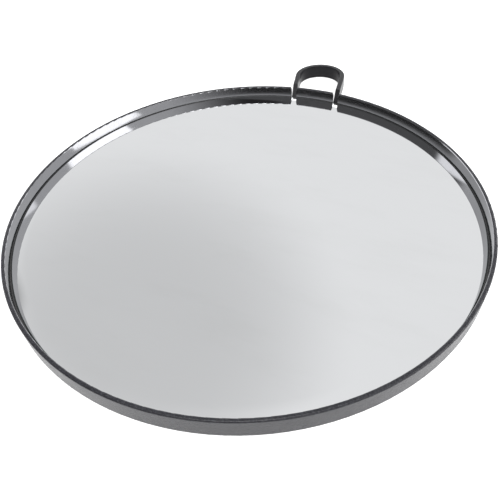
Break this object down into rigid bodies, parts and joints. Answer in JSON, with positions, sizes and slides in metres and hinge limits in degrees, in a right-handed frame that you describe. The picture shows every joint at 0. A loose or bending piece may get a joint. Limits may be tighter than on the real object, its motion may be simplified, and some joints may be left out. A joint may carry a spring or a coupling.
{
  "type": "convex security mirror",
  "caption": "Round, gently convex security mirror recessed in a slim black rim, with a strap loop at the top to hang it by and a flat board back.",
  "frame": {"origin": "middle of the round back, on the plane of the rim's back edge", "axes": "+Z out of the mirror's front, +Y from the middle towards the hanging loop, +X to the right seen from the front"},
  "size_m": [0.3, 0.3511, 0.013],
  "materials": {
    "black_rim": "black moulded plastic: glossy front edge and inside, fine texture outside",
    "loop_strap": "black flexible strap, satin",
    "pin_steel": "bright steel wire",
    "mirror_glass": "silvered glass, polished bevel",
    "clear_film": "grey film on the back of the silvering",
    "black_sealant": "black sealant bead",
    "foam_tape": "white foam tape",
    "soft_foam": "soft white foam",
    "hardboard": "brown hardboard",
    "spring_steel": "dark spring steel",
    "pad_rubber": "black rubber pad"
  },
  "bodies": {
    "root": {"rim_band": "black_rim", "hanging_loop": "loop_strap", "left_cross_pin": "pin_steel", "right_cross_pin": "pin_steel", "mirror_glass": "mirror_glass", "shatter_film": "clear_film", "edge_seal": "black_sealant", "tape_ring": "foam_tape", "foam_pad": "soft_foam", "back_board": "hardboard", "snap_ring": "spring_steel", "centre_pad": "pad_rubber", "wall_pad_1": "pad_rubber", "wall_pad_2": "pad_rubber", "wall_pad_3": "pad_rubber", "wall_pad_4": "pad_rubber"}
  },
  "joints": []
}
